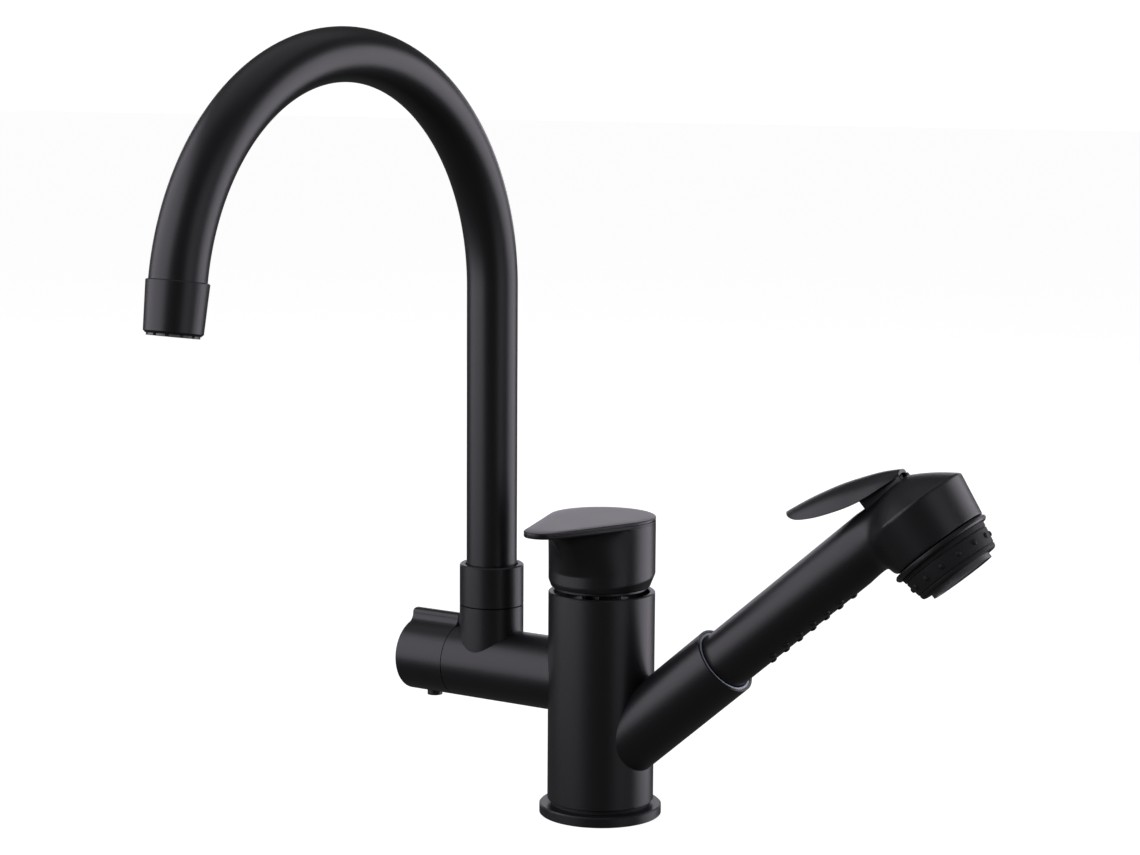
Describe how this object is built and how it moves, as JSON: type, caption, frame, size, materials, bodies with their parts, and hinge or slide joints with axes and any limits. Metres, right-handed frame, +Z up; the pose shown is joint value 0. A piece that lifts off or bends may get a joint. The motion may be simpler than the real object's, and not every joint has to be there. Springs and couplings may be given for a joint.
{
  "type": "kitchen mixer faucet",
  "caption": "Deck-mounted kitchen mixer with a swivelling gooseneck spout on a side arm, a top lever, a diverter knob and a pull-out hand spray in an angled holder.",
  "frame": {"origin": "centre of the base ring, on the top surface of the deck", "axes": "+Z up; the hand spray's holder points to +X, the side arm to -X, the lever and the stored spout to -Y"},
  "size_m": [0.3138, 0.2683, 0.4638],
  "materials": {
    "coated_metal": "satin black coating",
    "coated_handset": "satin black",
    "black_rubber": "matte",
    "shank_brass": "machined",
    "zinc_plate": "bright",
    "cartridge_plastic": "moulded",
    "ceramic_white": "lapped",
    "liner_plastic": "moulded",
    "grey_plastic": "satin silver grey",
    "marker_plastic": "gloss"
  },
  "bodies": {
    "body": {"base_flange": "coated_metal", "deck_seal": "black_rubber", "neck_ring": "black_rubber", "mounting_shank": "shank_brass", "rubber_washer": "black_rubber", "steel_washer": "zinc_plate", "fixing_nut": "shank_brass", "body_shell": "coated_metal", "inlet_tubes": "shank_brass", "cartridge_housing": "cartridge_plastic", "cartridge_base": "cartridge_plastic", "fixed_ceramic_disc": "ceramic_white", "clamp_nut": "shank_brass", "trim_ring": "coated_metal", "side_arm": "coated_metal", "swivel_nut": "coated_metal", "spout_bush": "cartridge_plastic", "diverter_cartridge": "cartridge_plastic", "holder_sleeve": "coated_metal", "holder_liner": "liner_plastic"},
    "turret": {"cartridge_turret": "cartridge_plastic", "lever_pivot_pin": "zinc_plate"},
    "lever": {"lever_handle": "coated_metal", "lever_stem": "zinc_plate", "lever_grub_screw": "zinc_plate", "index_plug": "marker_plastic"},
    "ceramic_slider": {"sliding_ceramic_disc": "ceramic_white"},
    "spout": {"spout_pipe": "coated_metal", "spout_seals": "black_rubber", "spout_clip": "zinc_plate", "aerator_housing": "coated_metal", "aerator_washer": "black_rubber", "aerator_insert": "grey_plastic"},
    "diverter": {"diverter_spindle": "cartridge_plastic", "diverter_knob": "coated_metal", "knob_screw": "zinc_plate"},
    "hose_end": {"hose_connector": "shank_brass"},
    "hand_spray": {"handset_shell": "coated_handset", "handle_inlet": "cartridge_plastic", "waterway_tube": "cartridge_plastic", "valve_body": "cartridge_plastic", "head_ring": "coated_handset", "spray_bumper": "black_rubber", "spray_face": "grey_plastic", "trigger_pin": "zinc_plate", "valve_spring": "zinc_plate"},
    "trigger": {"trigger_lever": "coated_handset"},
    "spray_valve": {"valve_pin": "zinc_plate"}
  },
  "joints": [
    {"name": "lever_turn", "type": "hinge", "parent": "body", "child": "turret", "pos_m": [0, 0, 0.118], "axis": [0, 0, 1], "range_deg": [-50, 50]},
    {"name": "lever_lift", "type": "hinge", "parent": "turret", "child": "lever", "pos_m": [0, 0, 0.118], "axis": [-1, 0, 0], "range_deg": [0, 16]},
    {"name": "disc_slide", "type": "slide", "parent": "turret", "child": "ceramic_slider", "axis": [0, -1, 0], "range_m": [0, 0.0044]},
    {"name": "spout_swivel", "type": "hinge", "parent": "body", "child": "spout", "pos_m": [-0.0648, 0, 0.106], "axis": [0, 0, 1], "continuous": true},
    {"name": "diverter_turn", "type": "hinge", "parent": "body", "child": "diverter", "pos_m": [-0.0984, 0, 0.0656], "axis": [1, 0, 0], "range_deg": [0, 90]},
    {"name": "handset_pull", "type": "slide", "parent": "body", "child": "hose_end", "axis": [0.7593, 0, 0.6508], "range_m": [0, 0.12]},
    {"name": "handset_twist", "type": "hinge", "parent": "hose_end", "child": "hand_spray", "pos_m": [0.04556, 0, 0.06415], "axis": [0.7593, 0, 0.6508], "continuous": true},
    {"name": "trigger_press", "type": "hinge", "parent": "hand_spray", "child": "trigger", "pos_m": [0.15746, -0.00107, 0.17791], "axis": [0.0511, -0.9969, -0.0596], "range_deg": [0, 8], "stiffness_Nm_per_rad": 0.4, "springref_deg": -17.19},
    {"name": "valve_push", "type": "slide", "parent": "hand_spray", "child": "spray_valve", "axis": [0.6488, 0.0785, -0.7569], "range_m": [0, 0.0016], "deforming": ["valve_spring"]}
  ],
  "couplings": [
    {"joint": "disc_slide", "follows": "lever_lift", "m_per_rad": 0.0154},
    {"joint": "valve_push", "follows": "trigger_press", "m_per_rad": 0.011}
  ]
}
